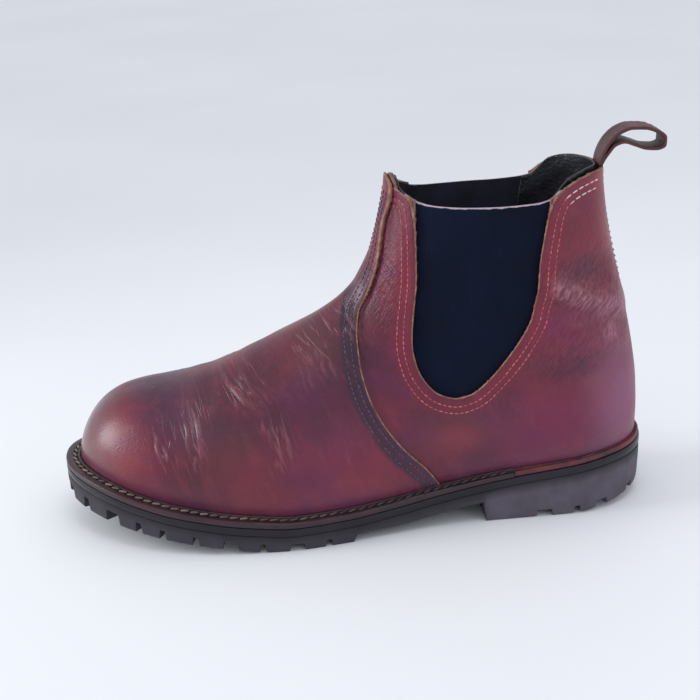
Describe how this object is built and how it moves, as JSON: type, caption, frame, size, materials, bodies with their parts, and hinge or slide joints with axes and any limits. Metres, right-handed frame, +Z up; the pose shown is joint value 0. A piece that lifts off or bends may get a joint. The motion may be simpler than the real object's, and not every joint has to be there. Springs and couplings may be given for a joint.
{
  "type": "chelsea boot",
  "caption": "Ankle-high slip-on leather boot with elastic side gores, a pull loop at the heel, a stitched welt and a lugged rubber sole with a heel.",
  "frame": {"origin": "centre of the bounding box on the ground, under the middle of the left boot", "axes": "+X from the heel to the toe, +Y to the wearer's left, which is the outer side of this left boot, +Z up"},
  "size_m": [0.3148, 0.1162, 0.1945],
  "materials": {
    "upper_leather": "pull-up oxblood leather, waxed, creased and rubbed lighter on the high spots",
    "elastic": "fine ribbed navy elastic webbing",
    "lining_leather": "soft black lining leather",
    "strap_leather": "brown strap leather, folded and stitched",
    "welt_leather": "dark stained welt leather",
    "thread": "heavy waxed linen thread",
    "midsole_rubber": "black, dressed to a soft shine",
    "outsole_rubber": "dark grey, matt, scuffed",
    "insole_leather": "natural vegetable-tanned",
    "stiffener": "pressed fibre board",
    "cork": "ground cork and binder",
    "steel": "plain spring steel"
  },
  "bodies": {
    "boot": {"outsole": "outsole_rubber", "midsole": "midsole_rubber", "welt": "welt_leather", "heel_rand": "welt_leather", "welt_thread": "thread", "insole": "insole_leather", "heel_sock": "lining_leather", "insole_rib": "stiffener", "cork_filler": "cork", "shank": "steel", "heel_nail_1": "steel", "heel_nail_2": "steel", "heel_nail_3": "steel", "heel_nail_4": "steel", "heel_nail_5": "steel", "vamp": "upper_leather", "quarter_lateral": "upper_leather", "quarter_medial": "upper_leather", "gore_lateral": "elastic", "gore_medial": "elastic", "toe_puff": "stiffener", "heel_counter": "stiffener", "vamp_lining": "lining_leather", "quarter_lining": "lining_leather", "pull_loop_tail": "strap_leather"},
    "pull_loop": {"pull_loop": "strap_leather"}
  },
  "joints": [
    {"name": "pull_loop_swing", "type": "hinge", "parent": "boot", "child": "pull_loop", "pos_m": [-0.1256, -0.001, 0.178], "axis": [0, 1, 0], "range_deg": [-50, 100], "stiffness_Nm_per_rad": 0.02}
  ]
}
